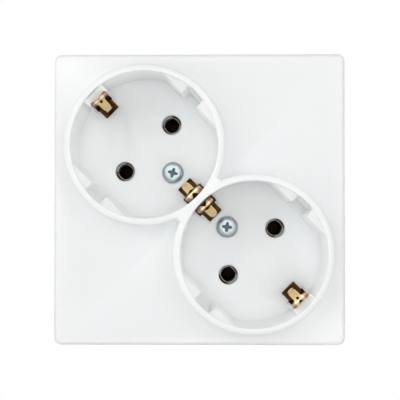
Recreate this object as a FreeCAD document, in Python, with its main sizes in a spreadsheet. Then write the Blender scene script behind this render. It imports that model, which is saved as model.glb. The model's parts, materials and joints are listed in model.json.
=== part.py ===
import FreeCAD, Part
import math
import os
import types

import Sketcher

Vector = FreeCAD.Vector

# Driving dimensions in millimetres, angles in degrees.
# The wall plane is at height 0. Heights grow towards the room, and are negative inside the wall box.
# "Across" runs along the line of the two wells, "up" along the line of the pins.
driving = {
    # front plate
    "plate_side": 80.0,
    "plate_corner": 2.0,
    "plate_inner_corner": 1.0,
    "face_gauge": 2.0,
    "face_edge": 1.2,
    "skirt_gauge": 1.8,
    "rib_gauge": 1.2,
    "rib_height": 8.0,
    # wells
    "well_turn": 45.0,
    "well_web": 2.0,
    "well_radius": 20.0,
    "well_depth": 17.5,
    "rim_rise": 5.0,
    "rim_land": 1.0,
    "rim_edge": 0.4,
    "collar_gauge": 1.8,
    "collar_joint": 1.0,
    "floor_gauge": 1.8,
    "flat_inset": 2.75,
    "lead_drop": 2.2,
    "lead_run": 1.0,
    "notch_width": 5.5,
    "pin_pitch": 19.0,
    "pin_hole_radius": 2.75,
    "pin_hole_edge": 0.3,
    # slots for the earth clips, measured inwards from the well's wall
    "slot_start_inset": 5.5,
    "slot_step_inset": 2.4,
    "slot_end_inset": 0.1,
    "slot_width": 4.8,
    "slot_wide": 6.65,
    "recess_depth": 0.6,
    "recess_stop": 1.2,
    # cover screws
    "cover_screw_inset": 10.0,
    "cover_screw_radius": 1.5,
    "cover_screw_head": 2.8,
    "cover_screw_head_height": 1.6,
    "cover_screw_shoulder": 0.4,
    "cover_screw_crown": 1.55,
    "cover_screw_sink": 0.8,
    "cross_arm": 1.65,
    "cross_width": 0.75,
    "cross_depth": 1.1,
    "screw_tip": 0.3,
    "boss_radius": 2.6,
    "bush_radius": 2.4,
    "bush_length": 7.0,
    # support ring
    "ring_margin": 2.2,
    "ring_corner": 8.0,
    "ring_gauge": 1.0,
    "box_screw_pitch": 60.0,
    "box_slot_length": 7.0,
    "box_slot_radius": 2.1,
    "corner_hole_pitch": 62.0,
    "corner_hole_radius": 1.8,
    # contact block
    "block_margin": 5.5,
    "block_wall": 1.6,
    "block_corner": 4.0,
    "block_back": 17.5,
    "deck_bottom": 0.5,
    "lip_overhang": 1.8,
    "lip_gauge": 1.6,
    "ear_offset": 19.0,
    "ear_radius": 3.6,
    "window_length": 14.8,
    "ring_rivet_radius": 1.2,
    "ring_rivet_head": 2.1,
    "ring_rivet_cap": 0.7,
    "ring_rivet_sink": 0.5,
    # rear cover
    "rear_gauge": 1.5,
    "rear_post_offset": 14.5,
    "rear_post_side": 3.6,
    "rear_screw_edge": 5.5,
    "rear_screw_radius": 1.3,
    "rear_screw_head": 2.5,
    "rear_screw_length": 7.5,
    "wire_radius": 1.4,
    "wire_offset": 5.6,
    # live and neutral bars
    "bar_gauge": 0.8,
    "bar_width": 6.0,
    "bar_end_gap": 0.5,
    "bar_rise_offset": 9.0,
    "bar_bend": 1.2,
    "bar_floor": 15.5,
    "bar_top": 0.6,
    # pin receptacles
    "pin_radius": 2.4,
    "leaf_gauge": 0.6,
    "leaf_top": 1.5,
    "leaf_gap": 2.0,
    "leaf_flare": 0.25,
    "leaf_flare_depth": 1.0,
    "base_gauge": 0.6,
    "base_margin": 0.2,
    "bar_rivet_radius": 1.0,
    "bar_rivet_head": 1.6,
    "bar_rivet_cap": 0.3,
    # earth bridge
    "bridge_gauge": 0.8,
    "bridge_width": 7.6,
    "bridge_bend": 0.8,
    "bridge_step": 2.4,
    "bridge_wire_offset": 4.0,
    "bridge_wire_radius": 1.0,
    # earth clips, measured inwards from the well's wall and down from the rim
    "clip_gauge": 0.45,
    "clip_width": 5.5,
    "outer_clip_shift": 0.6,
    "clip_start_inset": 7.1,
    "clip_leg_inset": 0.67,
    "clip_drop": 5.0,
    "clip_tip_inset": 5.65,
    "clip_tip_drop": 4.0,
    "clip_foot_bend": 0.9,
    "clip_top_bend": 0.75,
    "clip_tip_bend": 2.2,
    "clip_tail_inset": 3.5,
    "clip_tail_rise": 0.9,
    "tongue_width": 2.5,
    "clip_ear_radius": 0.83,
    "clip_ear_edge": 0.05,
    "fork_inset": 1.45,
    "fork_width": 0.5,
    "leg_gap": 2.4,
    "clip_hole_inset": 2.2,
    "clip_hole_radius": 0.4,
    "foot_window_start_inset": 3.8,
    "foot_window_end_inset": 1.4,
    "foot_window_width": 2.8,
    "clip_rivet_inset": 6.1,
    "clip_rivet_radius": 0.5,
    "clip_rivet_head": 0.8,
    "clip_rivet_cap": 0.35,
    # terminals
    "clamp_length": 7.0,
    "clamp_width": 6.6,
    "clamp_gauge": 1.0,
    "clamp_groove": 0.35,
    "terminal_radius": 1.75,
    "terminal_head": 2.8,
    "terminal_head_height": 1.7,
    "terminal_reach": 6.5,
    "terminal_slot_width": 0.8,
    "terminal_slot_depth": 0.9,
    "earth_clamp_length": 6.0,
    # clearances
    "seat_gap": 0.1,
    "hole_gap": 0.05,
    "screw_gap": 0.2,
    "slide_gap": 0.3,
    "ring_gap": 0.4,
}

doc = FreeCAD.newDocument("double_wall_socket")
sheet = doc.addObject("Spreadsheet::Sheet", "sizes")
for row, (word, number) in enumerate(driving.items(), start=1):
    sheet.set(f"A{row}", word.replace("_", " "))
    sheet.set(f"B{row}", str(number))
    sheet.setAlias(f"B{row}", word)
doc.recompute()


# A size carries its number and the formula that ties an object of the document to the sheet.
class Size:
    def __init__(self, number, formula):
        self.number = number
        self.formula = formula

    def __add__(self, other):
        other = as_size(other)
        return Size(self.number + other.number, f"({self.formula} + {other.formula})")

    def __sub__(self, other):
        other = as_size(other)
        return Size(self.number - other.number, f"({self.formula} - {other.formula})")

    def __mul__(self, other):
        other = as_size(other)
        return Size(self.number * other.number, f"({self.formula} * {other.formula})")

    def __truediv__(self, other):
        other = as_size(other)
        return Size(self.number / other.number, f"({self.formula} / {other.formula})")

    def __neg__(self):
        return Size(-self.number, f"(0 - {self.formula})")

    def __rmul__(self, other):
        return as_size(other) * self

    def __radd__(self, other):
        return as_size(other) + self

    def __rsub__(self, other):
        return as_size(other) - self


def as_size(value):
    if isinstance(value, Size):
        return value
    return Size(float(value), f"({float(value)})")


def root(size):
    return Size(math.sqrt(size.number), f"sqrt({size.formula})")


def sine(angle):
    return Size(math.sin(math.radians(angle.number)), f"sin({angle.formula} * 1 deg)")


def cosine(angle):
    return Size(math.cos(math.radians(angle.number)), f"cos({angle.formula} * 1 deg)")


dim = types.SimpleNamespace(**{word: Size(sheet.get(word), f"sizes.{word}") for word in driving})
zero = as_size(0)

# How far each place lies from the well's centre, where the sheet gives its inset from the wall.
insets = [word for word in driving if word.endswith("_inset")]
reach = types.SimpleNamespace(
    **{word.removesuffix("_inset"): dim.well_radius - getattr(dim, word) for word in insets}
)

# Places that several pieces share.
well_place = dim.well_radius + dim.well_web / 2
pin_place = dim.pin_pitch / 2
lip_front = dim.ring_gauge + dim.lip_gauge
floor_back = lip_front + dim.seat_gap
floor_front = floor_back + dim.floor_gauge
rim_height = floor_front + dim.well_depth
face_height = rim_height - dim.rim_rise
face_back = face_height - dim.face_gauge
clip_top = rim_height - dim.clip_drop
clip_tip_height = clip_top - dim.clip_tip_drop
clip_tail_height = floor_back + dim.clip_tail_rise
cover_screw_place = well_place - reach.cover_screw
bridge_top = -dim.bar_top
bridge_end_top = dim.ring_gauge + dim.bridge_gauge
bush_top = bridge_top - dim.bridge_gauge - dim.seat_gap
bush_bottom = bush_top - dim.bush_length
channel_width = dim.bridge_width + 2 * dim.slide_gap
bar_channel_width = dim.bar_width + 2 * dim.slide_gap
leaf_radius = dim.pin_radius + dim.leaf_gauge
half_block_length = well_place + dim.block_margin
half_block_width = pin_place + dim.block_margin
half_channel_length = half_block_length - dim.block_wall
rear_screw_place = half_block_length - dim.rear_screw_edge
outer_clip_place = well_place - dim.outer_clip_shift
bridge_rise = half_block_length + dim.ring_gap - dim.screw_gap
bridge_fall = bridge_rise - dim.bridge_step
earth_terminal_place = (cover_screw_place + dim.boss_radius + bridge_fall) / 2
earth_wire_place = earth_terminal_place - dim.bridge_wire_offset
diagonal = root(as_size(2))


# Bodies, sketches and their ties to the sheet
def new_body(label):
    body = doc.addObject("PartDesign::Body", label)
    body.Label = label
    return body


def place(body, across, up, turn):
    body.Placement = FreeCAD.Placement(Vector(), FreeCAD.Rotation(Vector(0, 1, 0), turn.number))
    well_line_x = cosine(dim.well_turn)
    well_line_z = sine(dim.well_turn)
    body.setExpression("Placement.Base.x", (across * well_line_x + up * well_line_z).formula)
    body.setExpression("Placement.Base.z", (up * well_line_x - across * well_line_z).formula)
    body.setExpression("Placement.Rotation.Angle", turn.formula)
    return body


def sketch_on(body, name, role, offset=zero, shift=zero, turn=zero):
    sketch = body.newObject("Sketcher::SketchObject", name)
    plane = next(item for item in body.Origin.OriginFeatures if item.Role == role)
    sketch.AttachmentSupport = (plane, [""])
    sketch.MapMode = "FlatFace"
    sketch.AttachmentOffset = FreeCAD.Placement(
        Vector(shift.number, 0, offset.number), FreeCAD.Rotation(Vector(0, 0, 1), turn.number)
    )
    sketch.setExpression("AttachmentOffset.Base.x", shift.formula)
    sketch.setExpression("AttachmentOffset.Base.z", offset.formula)
    return sketch


def seen_from_front(body, name, height=zero, turn=zero):
    return sketch_on(body, name, "XZ_Plane", offset=height, turn=turn)


def seen_from_side(body, name, offset=zero, shift=zero):
    return sketch_on(body, name, "XY_Plane", offset=offset, shift=shift)


def bind(item, path, size):
    item.setExpression(path, size.formula)


def limit(sketch, kind, *ends, size):
    index = sketch.addConstraint(Sketcher.Constraint(kind, *ends, size.number))
    bind(sketch, f"Constraints[{index}]", size)


START, END, CENTRE = 1, 2, 3
ORIGIN = (-1, 1)


def tie(sketch, geometry, point, across, up):
    limit(sketch, "DistanceX", *ORIGIN, geometry, point, size=across)
    limit(sketch, "DistanceY", *ORIGIN, geometry, point, size=up)


def circle(sketch, across, up, radius):
    across, up = as_size(across), as_size(up)
    centre = Vector(across.number, up.number, 0)
    geometry = sketch.addGeometry(Part.Circle(centre, Vector(0, 0, 1), radius.number), False)
    tie(sketch, geometry, CENTRE, across, up)
    limit(sketch, "Radius", geometry, size=radius)


# The direction of the straight run between two rounds of a path. A round's radius is positive
# where the path turns anticlockwise, negative where it turns clockwise, and zero at a corner.
def run_direction(first, second):
    along = second[1].number - first[1].number
    gap = Vector(second[0].number - first[0].number, along, 0)
    lean = math.asin((second[2].number - first[2].number) / gap.Length)
    return math.atan2(gap.y, gap.x) - lean


# A path of straight runs that bends round each given circle, as a strip bends round pins.
def bent_path(sketch, rounds, closed):
    rounds = [tuple(as_size(value) for value in entry) for entry in rounds]
    count = len(rounds)
    runs = count if closed else count - 1
    directions = [run_direction(rounds[i], rounds[(i + 1) % count]) for i in range(runs)]

    def touch(entry, direction):
        side = Vector(math.sin(direction), -math.cos(direction), 0)
        return Vector(entry[0].number, entry[1].number, 0) + side * entry[2].number

    lines = []
    for i in range(runs):
        start = touch(rounds[i], directions[i])
        end = touch(rounds[(i + 1) % count], directions[i])
        lines.append(sketch.addGeometry(Part.LineSegment(start, end), False))
    for i, (across, up, radius) in enumerate(rounds):
        before = lines[i - 1] if closed or i > 0 else None
        after = lines[i] if i < runs else None
        if radius.number == 0:
            if before is not None and after is not None:
                sketch.addConstraint(Sketcher.Constraint("Coincident", before, END, after, START))
            if after is not None:
                tie(sketch, after, START, across, up)
            else:
                tie(sketch, before, END, across, up)
            continue
        left_turn = radius.number > 0
        quarter = -math.pi / 2 if left_turn else math.pi / 2
        angles = [directions[i - 1] + quarter, directions[i] + quarter]
        if not left_turn:
            angles.reverse()
        while angles[1] <= angles[0]:
            angles[1] += 2 * math.pi
        while angles[1] - angles[0] > 2 * math.pi:
            angles[1] -= 2 * math.pi
        centre = Vector(across.number, up.number, 0)
        base = Part.Circle(centre, Vector(0, 0, 1), abs(radius.number))
        arc = sketch.addGeometry(Part.ArcOfCircle(base, angles[0], angles[1]), False)
        arc_in, arc_out = (START, END) if left_turn else (END, START)
        sketch.addConstraint(Sketcher.Constraint("Tangent", before, END, arc, arc_in))
        sketch.addConstraint(Sketcher.Constraint("Tangent", arc, arc_out, after, START))
        tie(sketch, arc, CENTRE, across, up)
        limit(sketch, "Radius", arc, size=radius if left_turn else -radius)
    return sketch


def outline(sketch, *rounds):
    return bent_path(sketch, [entry if len(entry) == 3 else (*entry, zero) for entry in rounds], True)


def rectangle(sketch, left, right, low, high):
    return outline(sketch, (left, low), (right, low), (right, high), (left, high))


def rounded_rectangle(sketch, half_length, half_width, radius):
    right, high = half_length - radius, half_width - radius
    corners = [(-right, -high), (right, -high), (right, high), (-right, high)]
    return outline(sketch, *[(across, up, radius) for across, up in corners])


def slot(sketch, across, up, half_run, radius, upright=False):
    run = (zero, half_run) if upright else (half_run, zero)
    low = (across - run[0], up - run[1], radius)
    high = (across + run[0], up + run[1], radius)
    return outline(sketch, low, high)


# Features
def pad(body, sketch, length):
    feature = body.newObject("PartDesign::Pad", sketch.Name + "_pad")
    feature.Profile = sketch
    bind(feature, "Length", length)
    return feature


def pocket(body, sketch, depth, towards_room=False):
    doc.recompute()
    before = body.Shape.Volume
    feature = body.newObject("PartDesign::Pocket", sketch.Name + "_cut")
    feature.Profile = sketch
    feature.Reversed = towards_room
    bind(feature, "Length", depth)
    doc.recompute()
    if body.Shape.Volume >= before:
        raise ValueError(f"{sketch.Name} of {body.Label} cuts nothing")
    return feature


def turned(body, sketch, kind):
    feature = body.newObject(f"PartDesign::{kind}", sketch.Name + "_turned")
    feature.Profile = sketch
    feature.ReferenceAxis = (sketch, ["V_Axis"])
    feature.Angle = 360.0
    return feature


def dress(body, kind, base, size, wanted):
    doc.recompute()
    names = [f"Edge{i}" for i, edge in enumerate(base.Shape.Edges, start=1) if wanted(edge)]
    feature = body.newObject(f"PartDesign::{kind}", f"{base.Name}_{kind.lower()}")
    feature.Base = (base, names)
    bind(feature, "Radius" if kind == "Fillet" else "Size", size)
    return feature


def near(number, size):
    return abs(number - as_size(size).number) < 1e-4


def at_height(edge, height):
    return all(near(-vertex.Y, height) for vertex in edge.Vertexes)


# A piece turned on a lathe: its half profile is given as radius and height pairs.
def turned_piece(body, name, *rounds):
    profile = seen_from_side(body, name)
    points = [(entry[0], -as_size(entry[1])) for entry in rounds]
    outline(profile, *points)
    return turned(body, profile, "Revolution")


# A strip bent along a path of across and height pairs, centred on its thickness.
def bent_strip(body, name, rounds, gauge, width):
    path = seen_from_side(body, name + "_path")
    flipped = [(entry[0], -as_size(entry[1]), -as_size(entry[2])) for entry in rounds]
    bent_path(path, flipped, False)
    section = sketch_on(body, name + "_section", "YZ_Plane", offset=as_size(rounds[0][0]))
    middle = -as_size(rounds[0][1])
    rectangle(section, middle - gauge / 2, middle + gauge / 2, -width / 2, width / 2)
    pipe = body.newObject("PartDesign::AdditivePipe", name + "_strip")
    pipe.Profile = section
    pipe.Spine = (path, [])
    return pipe


# Front plate with the two wells
def cover_plate():
    body = place(new_body("cover_plate"), zero, zero, dim.well_turn)
    half_side = dim.plate_side / 2
    square = seen_from_front(body, "plate_square", turn=dim.well_turn)
    rounded_rectangle(square, half_side, half_side, dim.plate_corner)
    slab = pad(body, square, face_height)
    dress(body, "Fillet", slab, dim.face_edge, lambda edge: at_height(edge, face_height))
    inside = seen_from_front(body, "plate_inside", turn=dim.well_turn)
    half_inside = half_side - dim.skirt_gauge
    rounded_rectangle(inside, half_inside, half_inside, dim.plate_inner_corner)
    pocket(body, inside, face_back, towards_room=True)

    add_ribs(body, half_inside)
    collar_radius = dim.well_radius + dim.collar_gauge
    for side in (-1, 1):
        ring = seen_from_front(body, "collar", floor_back)
        circle(ring, side * well_place, zero, collar_radius)
        collars = pad(body, ring, rim_height - floor_back)
    joints = dress(body, "Fillet", collars, dim.collar_joint, between_collars)
    dress(body, "Chamfer", joints, dim.rim_edge, lambda edge: at_height(edge, rim_height))

    for side in (-1, 1):
        cut_well(body, side * well_place)
        cut_notches(body, side * well_place)
        cut_lead_in(body, side * well_place)
        add_screw_boss(body, side * cover_screw_place)
        cut_clip_slot(body, side * well_place, side, outer=True)
        cut_clip_slot(body, side * well_place, -side, outer=False)
    cut_pin_holes(body)
    return body


def add_ribs(body, half_inside):
    corner = half_inside * diagonal
    half_gauge = dim.rib_gauge / 2
    for turned_side in (-1, 1):
        long_rib = seen_from_front(body, "corner_rib", face_back - dim.rib_height)
        near_end, far_end = sorted((turned_side * dim.collar_gauge, turned_side * corner), key=number_of)
        rectangle(long_rib, -half_gauge, half_gauge, near_end, far_end)
        pad(body, long_rib, dim.rib_height)
        short_rib = seen_from_front(body, "end_rib", face_back - dim.rib_height)
        tube_side = turned_side * (well_place + dim.well_radius)
        near_end, far_end = sorted((tube_side, turned_side * corner), key=number_of)
        rectangle(short_rib, near_end, far_end, -half_gauge, half_gauge)
        pad(body, short_rib, dim.rib_height)


def number_of(size):
    return size.number


def between_collars(edge):
    ends = edge.Vertexes
    if len(ends) < 2 or not all(near(end.X, 0) for end in ends):
        return False
    return near(ends[0].Z, ends[1].Z) and abs(ends[0].Z) > dim.rib_gauge.number and on_front(ends)


def on_front(ends):
    return min(-end.Y for end in ends) > face_back.number


def cut_well(body, middle):
    half_flat = root(dim.well_radius * dim.well_radius - reach.flat * reach.flat)
    flat = reach.flat
    mouth = seen_from_front(body, "well", rim_height)
    corners = [
        (middle - half_flat, -flat),
        (middle + half_flat, -flat),
        (middle + half_flat, flat),
        (middle - half_flat, flat),
    ]
    flats_and_arcs(mouth, corners, dim.well_radius)
    pocket(body, mouth, dim.well_depth)


# A circle whose lower and upper ends are cut off by two flats.
def flats_and_arcs(sketch, corners, radius):
    points = [Vector(across.number, up.number, 0) for across, up in corners]
    middle = Vector((points[0].x + points[1].x) / 2, 0, 0)
    base = Part.Circle(middle, Vector(0, 0, 1), radius.number)
    lean = math.atan2(points[2].y, points[2].x - middle.x)
    low = sketch.addGeometry(Part.LineSegment(points[0], points[1]), False)
    right = sketch.addGeometry(Part.ArcOfCircle(base, -lean, lean), False)
    high = sketch.addGeometry(Part.LineSegment(points[2], points[3]), False)
    left = sketch.addGeometry(Part.ArcOfCircle(base, math.pi - lean, math.pi + lean), False)
    order = [low, right, high, left]
    for i, part in enumerate(order):
        following = order[(i + 1) % len(order)]
        sketch.addConstraint(Sketcher.Constraint("Coincident", part, END, following, START))
        tie(sketch, part, START, *corners[i])
    for arc in (right, left):
        limit(sketch, "Radius", arc, size=radius)


def cut_notches(body, middle):
    half_width = dim.notch_width / 2
    back = root(dim.well_radius * dim.well_radius - half_width * half_width)
    front = reach.flat - dim.lead_run
    for low, high in ((-back, -front), (front, back)):
        notch = seen_from_front(body, "notch", rim_height)
        rectangle(notch, middle - half_width, middle + half_width, low, high)
        pocket(body, notch, dim.well_depth)


def cut_lead_in(body, middle):
    land = rim_height - dim.rim_land
    inner = reach.flat - dim.lead_run
    bottom = land - dim.lead_drop
    cone = seen_from_side(body, "lead_in", shift=middle)
    profile = [
        (zero, -rim_height),
        (dim.well_radius, -rim_height),
        (dim.well_radius, -land),
        (inner, -bottom),
        (zero, -bottom),
    ]
    outline(cone, *profile)
    turned(body, cone, "Groove")


def add_screw_boss(body, middle):
    boss_back = bridge_top + dim.seat_gap
    boss = seen_from_front(body, "screw_boss", boss_back)
    circle(boss, middle, zero, dim.boss_radius)
    pad(body, boss, floor_front - boss_back)
    sink = seen_from_front(body, "screw_sink", floor_front)
    circle(sink, middle, zero, dim.cover_screw_head + dim.slide_gap)
    pocket(body, sink, dim.cover_screw_sink)
    hole = seen_from_front(body, "screw_hole", floor_front)
    circle(hole, middle, zero, dim.cover_screw_radius + dim.screw_gap)
    pocket(body, hole, floor_front - boss_back)


def cut_clip_slot(body, middle, direction, outer):
    half_width, half_wide = dim.slot_width / 2, dim.slot_wide / 2
    end = dim.well_radius + dim.recess_depth if outer else reach.slot_end
    steps = [
        (reach.slot_start, -half_width),
        (reach.slot_step, -half_width),
        (reach.slot_step, -half_wide),
        (end, -half_wide),
        (end, half_wide),
        (reach.slot_step, half_wide),
        (reach.slot_step, half_width),
        (reach.slot_start, half_width),
    ]
    opening = seen_from_front(body, "clip_slot", floor_back)
    outline(opening, *[(middle + direction * far, direction * up) for far, up in steps])
    pocket(body, opening, dim.floor_gauge, towards_room=True)
    if not outer:
        return
    recess = seen_from_front(body, "clip_recess", floor_back)
    ends = sorted((middle + direction * reach.slot_step, middle + direction * end), key=number_of)
    rectangle(recess, *ends, -half_wide, half_wide)
    pocket(body, recess, rim_height - dim.recess_stop - floor_back, towards_room=True)


def cut_pin_holes(body):
    holes = seen_from_front(body, "pin_holes", floor_front)
    for side in (-1, 1):
        for pole in (-1, 1):
            circle(holes, side * well_place, pole * pin_place, dim.pin_hole_radius)
    cut = pocket(body, holes, dim.floor_gauge)
    dress(body, "Chamfer", cut, dim.pin_hole_edge, is_pin_hole_mouth)


def is_pin_hole_mouth(edge):
    round_edge = hasattr(edge.Curve, "Radius") and near(edge.Curve.Radius, dim.pin_hole_radius)
    return round_edge and at_height(edge, floor_front)


# Cross-headed screw that holds the front plate
def cover_screw(label, side):
    body = place(new_body(label), side * cover_screw_place, zero, dim.well_turn)
    seat = floor_front - dim.cover_screw_sink
    top = seat + dim.cover_screw_head_height
    tip = bush_bottom + dim.slide_gap
    shank, head, shoulder = dim.cover_screw_radius, dim.cover_screw_head, dim.cover_screw_shoulder
    turned_piece(
        body,
        "screw_profile",
        (zero, tip),
        (zero, top),
        (dim.cover_screw_crown, top),
        (head - shoulder / 2, top - shoulder),
        (head, top - 2 * shoulder),
        (head, seat),
        (shank, seat),
        (shank, tip + dim.screw_tip),
        (shank - dim.screw_tip, tip),
    )
    cross = seen_from_front(body, "cross", top)
    outline(cross, *cross_outline(dim.cross_arm, dim.cross_width / 2))
    pocket(body, cross, dim.cross_depth)
    return body


def cross_outline(arm, half_arm):
    points = []
    for quarter in range(4):
        for across, up in ((-half_arm, -arm), (half_arm, -arm), (half_arm, -half_arm)):
            for _ in range(quarter):
                across, up = -up, across
            points.append((across, up))
    return points


# Brass bush in the block that takes a cover screw
def threaded_bush(label, side):
    body = place(new_body(label), side * cover_screw_place, zero, dim.well_turn)
    top, bottom = bush_top, bush_bottom
    bore = dim.cover_screw_radius + dim.hole_gap
    turned_piece(
        body,
        "bush_profile",
        (bore, bottom),
        (bore, top),
        (dim.bush_radius, top),
        (dim.bush_radius, bottom),
    )
    return body


# Pressed steel ring that is screwed to the wall box
def support_ring():
    body = place(new_body("support_ring"), zero, zero, zero)
    half_side = dim.plate_side / 2 - dim.skirt_gauge - dim.ring_margin
    square = seen_from_front(body, "ring_square")
    rounded_rectangle(square, half_side, half_side, dim.ring_corner)
    pad(body, square, dim.ring_gauge)
    opening = seen_from_front(body, "ring_opening", dim.ring_gauge, turn=-dim.well_turn)
    block_outline(opening, dim.ring_gap)
    pocket(body, opening, dim.ring_gauge)
    box_place = dim.box_screw_pitch / 2
    half_run = dim.box_slot_length / 2 - dim.box_slot_radius
    for side in (-1, 1):
        for upright in (False, True):
            across, up = (zero, side * box_place) if upright else (side * box_place, zero)
            screw_slot = seen_from_front(body, "box_slot", dim.ring_gauge)
            slot(screw_slot, across, up, half_run, dim.box_slot_radius, upright)
            pocket(body, screw_slot, dim.ring_gauge)
    corners = seen_from_front(body, "corner_holes", dim.ring_gauge)
    corner_place = dim.corner_hole_pitch / 2
    for side in (-1, 1):
        for level in (-1, 1):
            circle(corners, side * corner_place, level * corner_place, dim.corner_hole_radius)
    pocket(body, corners, dim.ring_gauge)
    ears = seen_from_front(body, "ring_rivet_holes", dim.ring_gauge, turn=-dim.well_turn)
    for side in (-1, 1):
        circle(ears, zero, side * dim.ear_offset, dim.ring_rivet_radius + dim.hole_gap)
    holes = pocket(body, ears, dim.ring_gauge)
    dress(body, "Chamfer", holes, dim.ring_rivet_sink, is_rivet_hole_back)
    return body


def is_rivet_hole_back(edge):
    radius = dim.ring_rivet_radius + dim.hole_gap
    round_edge = hasattr(edge.Curve, "Radius") and near(edge.Curve.Radius, radius)
    return round_edge and at_height(edge, zero)


def block_outline(sketch, margin):
    half_length, half_width = half_block_length + margin, half_block_width + margin
    return rounded_rectangle(sketch, half_length, half_width, dim.block_corner + margin)


# Moulded block that carries the contacts
def contact_block():
    body = place(new_body("contact_block"), zero, zero, dim.well_turn)
    core = seen_from_front(body, "block_core", -dim.block_back)
    block_outline(core, zero)
    pad(body, core, dim.block_back + dim.ring_gauge)
    lip = seen_from_front(body, "block_lip", dim.ring_gauge)
    block_outline(lip, dim.lip_overhang)
    pad(body, lip, dim.lip_gauge)
    for side in (-1, 1):
        ear = seen_from_front(body, "block_ear", dim.ring_gauge)
        slot(ear, zero, side * dim.ear_offset / 2, dim.ear_offset / 2, dim.ear_radius, upright=True)
        pad(body, ear, dim.lip_gauge)
    rivet_holes = seen_from_front(body, "ear_holes", lip_front)
    for side in (-1, 1):
        circle(rivet_holes, zero, side * dim.ear_offset, dim.ring_rivet_radius + dim.hole_gap)
    pocket(body, rivet_holes, dim.lip_gauge)

    channel = seen_from_front(body, "bridge_channel", lip_front)
    half_channel = half_block_length + 2 * dim.lip_overhang
    rectangle(channel, -half_channel, half_channel, -channel_width / 2, channel_width / 2)
    pocket(body, channel, lip_front - bridge_top + dim.bridge_gauge)
    for pole in (-1, 1):
        cut_contact_channel(body, pole)
    bushes = seen_from_front(body, "bush_holes", lip_front)
    for side in (-1, 1):
        circle(bushes, side * cover_screw_place, zero, dim.bush_radius + dim.hole_gap)
    pocket(body, bushes, lip_front - bush_bottom)
    earth = seen_from_front(body, "earth_screw_hole", lip_front)
    circle(earth, earth_terminal_place, zero, dim.terminal_radius + dim.screw_gap)
    pocket(body, earth, lip_front + dim.terminal_reach + dim.screw_gap)
    wire = seen_from_front(body, "earth_wire_hole", lip_front)
    circle(wire, earth_wire_place, zero, dim.bridge_wire_radius + dim.slide_gap)
    pocket(body, wire, lip_front + dim.block_back)
    rear_holes = seen_from_front(body, "rear_screw_holes", -dim.block_back)
    for side in (-1, 1):
        circle(rear_holes, side * rear_screw_place, zero, dim.rear_screw_radius + dim.hole_gap)
    pocket(body, rear_holes, dim.rear_screw_length, towards_room=True)
    return body


def cut_contact_channel(body, pole):
    low = pole * pin_place - bar_channel_width / 2
    high = pole * pin_place + bar_channel_width / 2
    channel = seen_from_front(body, "bar_channel", -dim.block_back)
    rectangle(channel, -half_channel_length, half_channel_length, low, high)
    pocket(body, channel, dim.block_back - dim.deck_bottom, towards_room=True)
    half_window = dim.window_length / 2
    window = seen_from_front(body, "terminal_window", lip_front)
    side_gap = dim.slide_gap
    low = pole * pin_place - dim.clamp_width / 2 - side_gap
    high = pole * pin_place + dim.clamp_width / 2 + side_gap
    rectangle(window, -half_window, half_window, low, high)
    pocket(body, window, lip_front + dim.deck_bottom)
    entries = seen_from_front(body, "pin_entries", lip_front)
    for side in (-1, 1):
        circle(entries, side * well_place, pole * pin_place, leaf_radius + dim.screw_gap)
    pocket(body, entries, lip_front + dim.deck_bottom)


# Insulating lid that closes the back of the block
def rear_cover():
    body = place(new_body("rear_cover"), zero, zero, dim.well_turn)
    back = -(dim.block_back + dim.rear_gauge)
    plate = seen_from_front(body, "rear_plate", back)
    block_outline(plate, zero)
    pad(body, plate, dim.rear_gauge)
    posts = seen_from_front(body, "rear_posts", -dim.block_back)
    bar_bottom = -(dim.bar_floor + dim.bar_gauge)
    half_post = dim.rear_post_side / 2
    for side in (-1, 1):
        for pole in (-1, 1):
            across, up = side * dim.rear_post_offset, pole * pin_place
            rectangle(posts, across - half_post, across + half_post, up - half_post, up + half_post)
    pad(body, posts, bar_bottom + dim.block_back)
    wires = seen_from_front(body, "rear_wire_holes", -dim.block_back)
    for side in (-1, 1):
        for pole in (-1, 1):
            circle(wires, side * dim.wire_offset, pole * pin_place, dim.wire_radius)
    circle(wires, earth_wire_place, zero, dim.bridge_wire_radius)
    pocket(body, wires, dim.rear_gauge)
    for side in (-1, 1):
        sink = seen_from_side(body, "rear_sink", shift=side * rear_screw_place)
        hole = dim.rear_screw_radius + dim.hole_gap
        rim = dim.rear_screw_head + dim.hole_gap
        slope = dim.rear_screw_head - dim.rear_screw_radius
        profile = [
            (zero, -back),
            (rim, -back),
            (hole, -back - slope),
            (hole, dim.block_back),
            (zero, dim.block_back),
        ]
        outline(sink, *profile)
        turned(body, sink, "Groove")
    return body


def rear_cover_screw(side):
    body = place(new_body("rear_cover_screw"), side * rear_screw_place, zero, dim.well_turn)
    back = -(dim.block_back + dim.rear_gauge)
    radius, head = dim.rear_screw_radius, dim.rear_screw_head
    tip = back + dim.rear_screw_length
    turned_piece(
        body,
        "rear_screw_profile",
        (zero, back),
        (head, back),
        (radius, back + head - radius),
        (radius, tip - radius),
        (zero, tip),
    )
    return body


def ring_rivet(side):
    body = place(new_body("ring_rivet"), zero, side * dim.ear_offset, dim.well_turn)
    shank, head, cap = dim.ring_rivet_radius, dim.ring_rivet_head, dim.ring_rivet_cap
    turned_piece(
        body,
        "ring_rivet_profile",
        (zero, zero),
        (shank + dim.ring_rivet_sink, zero),
        (shank, dim.ring_rivet_sink),
        (shank, lip_front),
        (head, lip_front),
        (head, lip_front + cap),
        (zero, lip_front + cap),
    )
    return body


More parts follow.
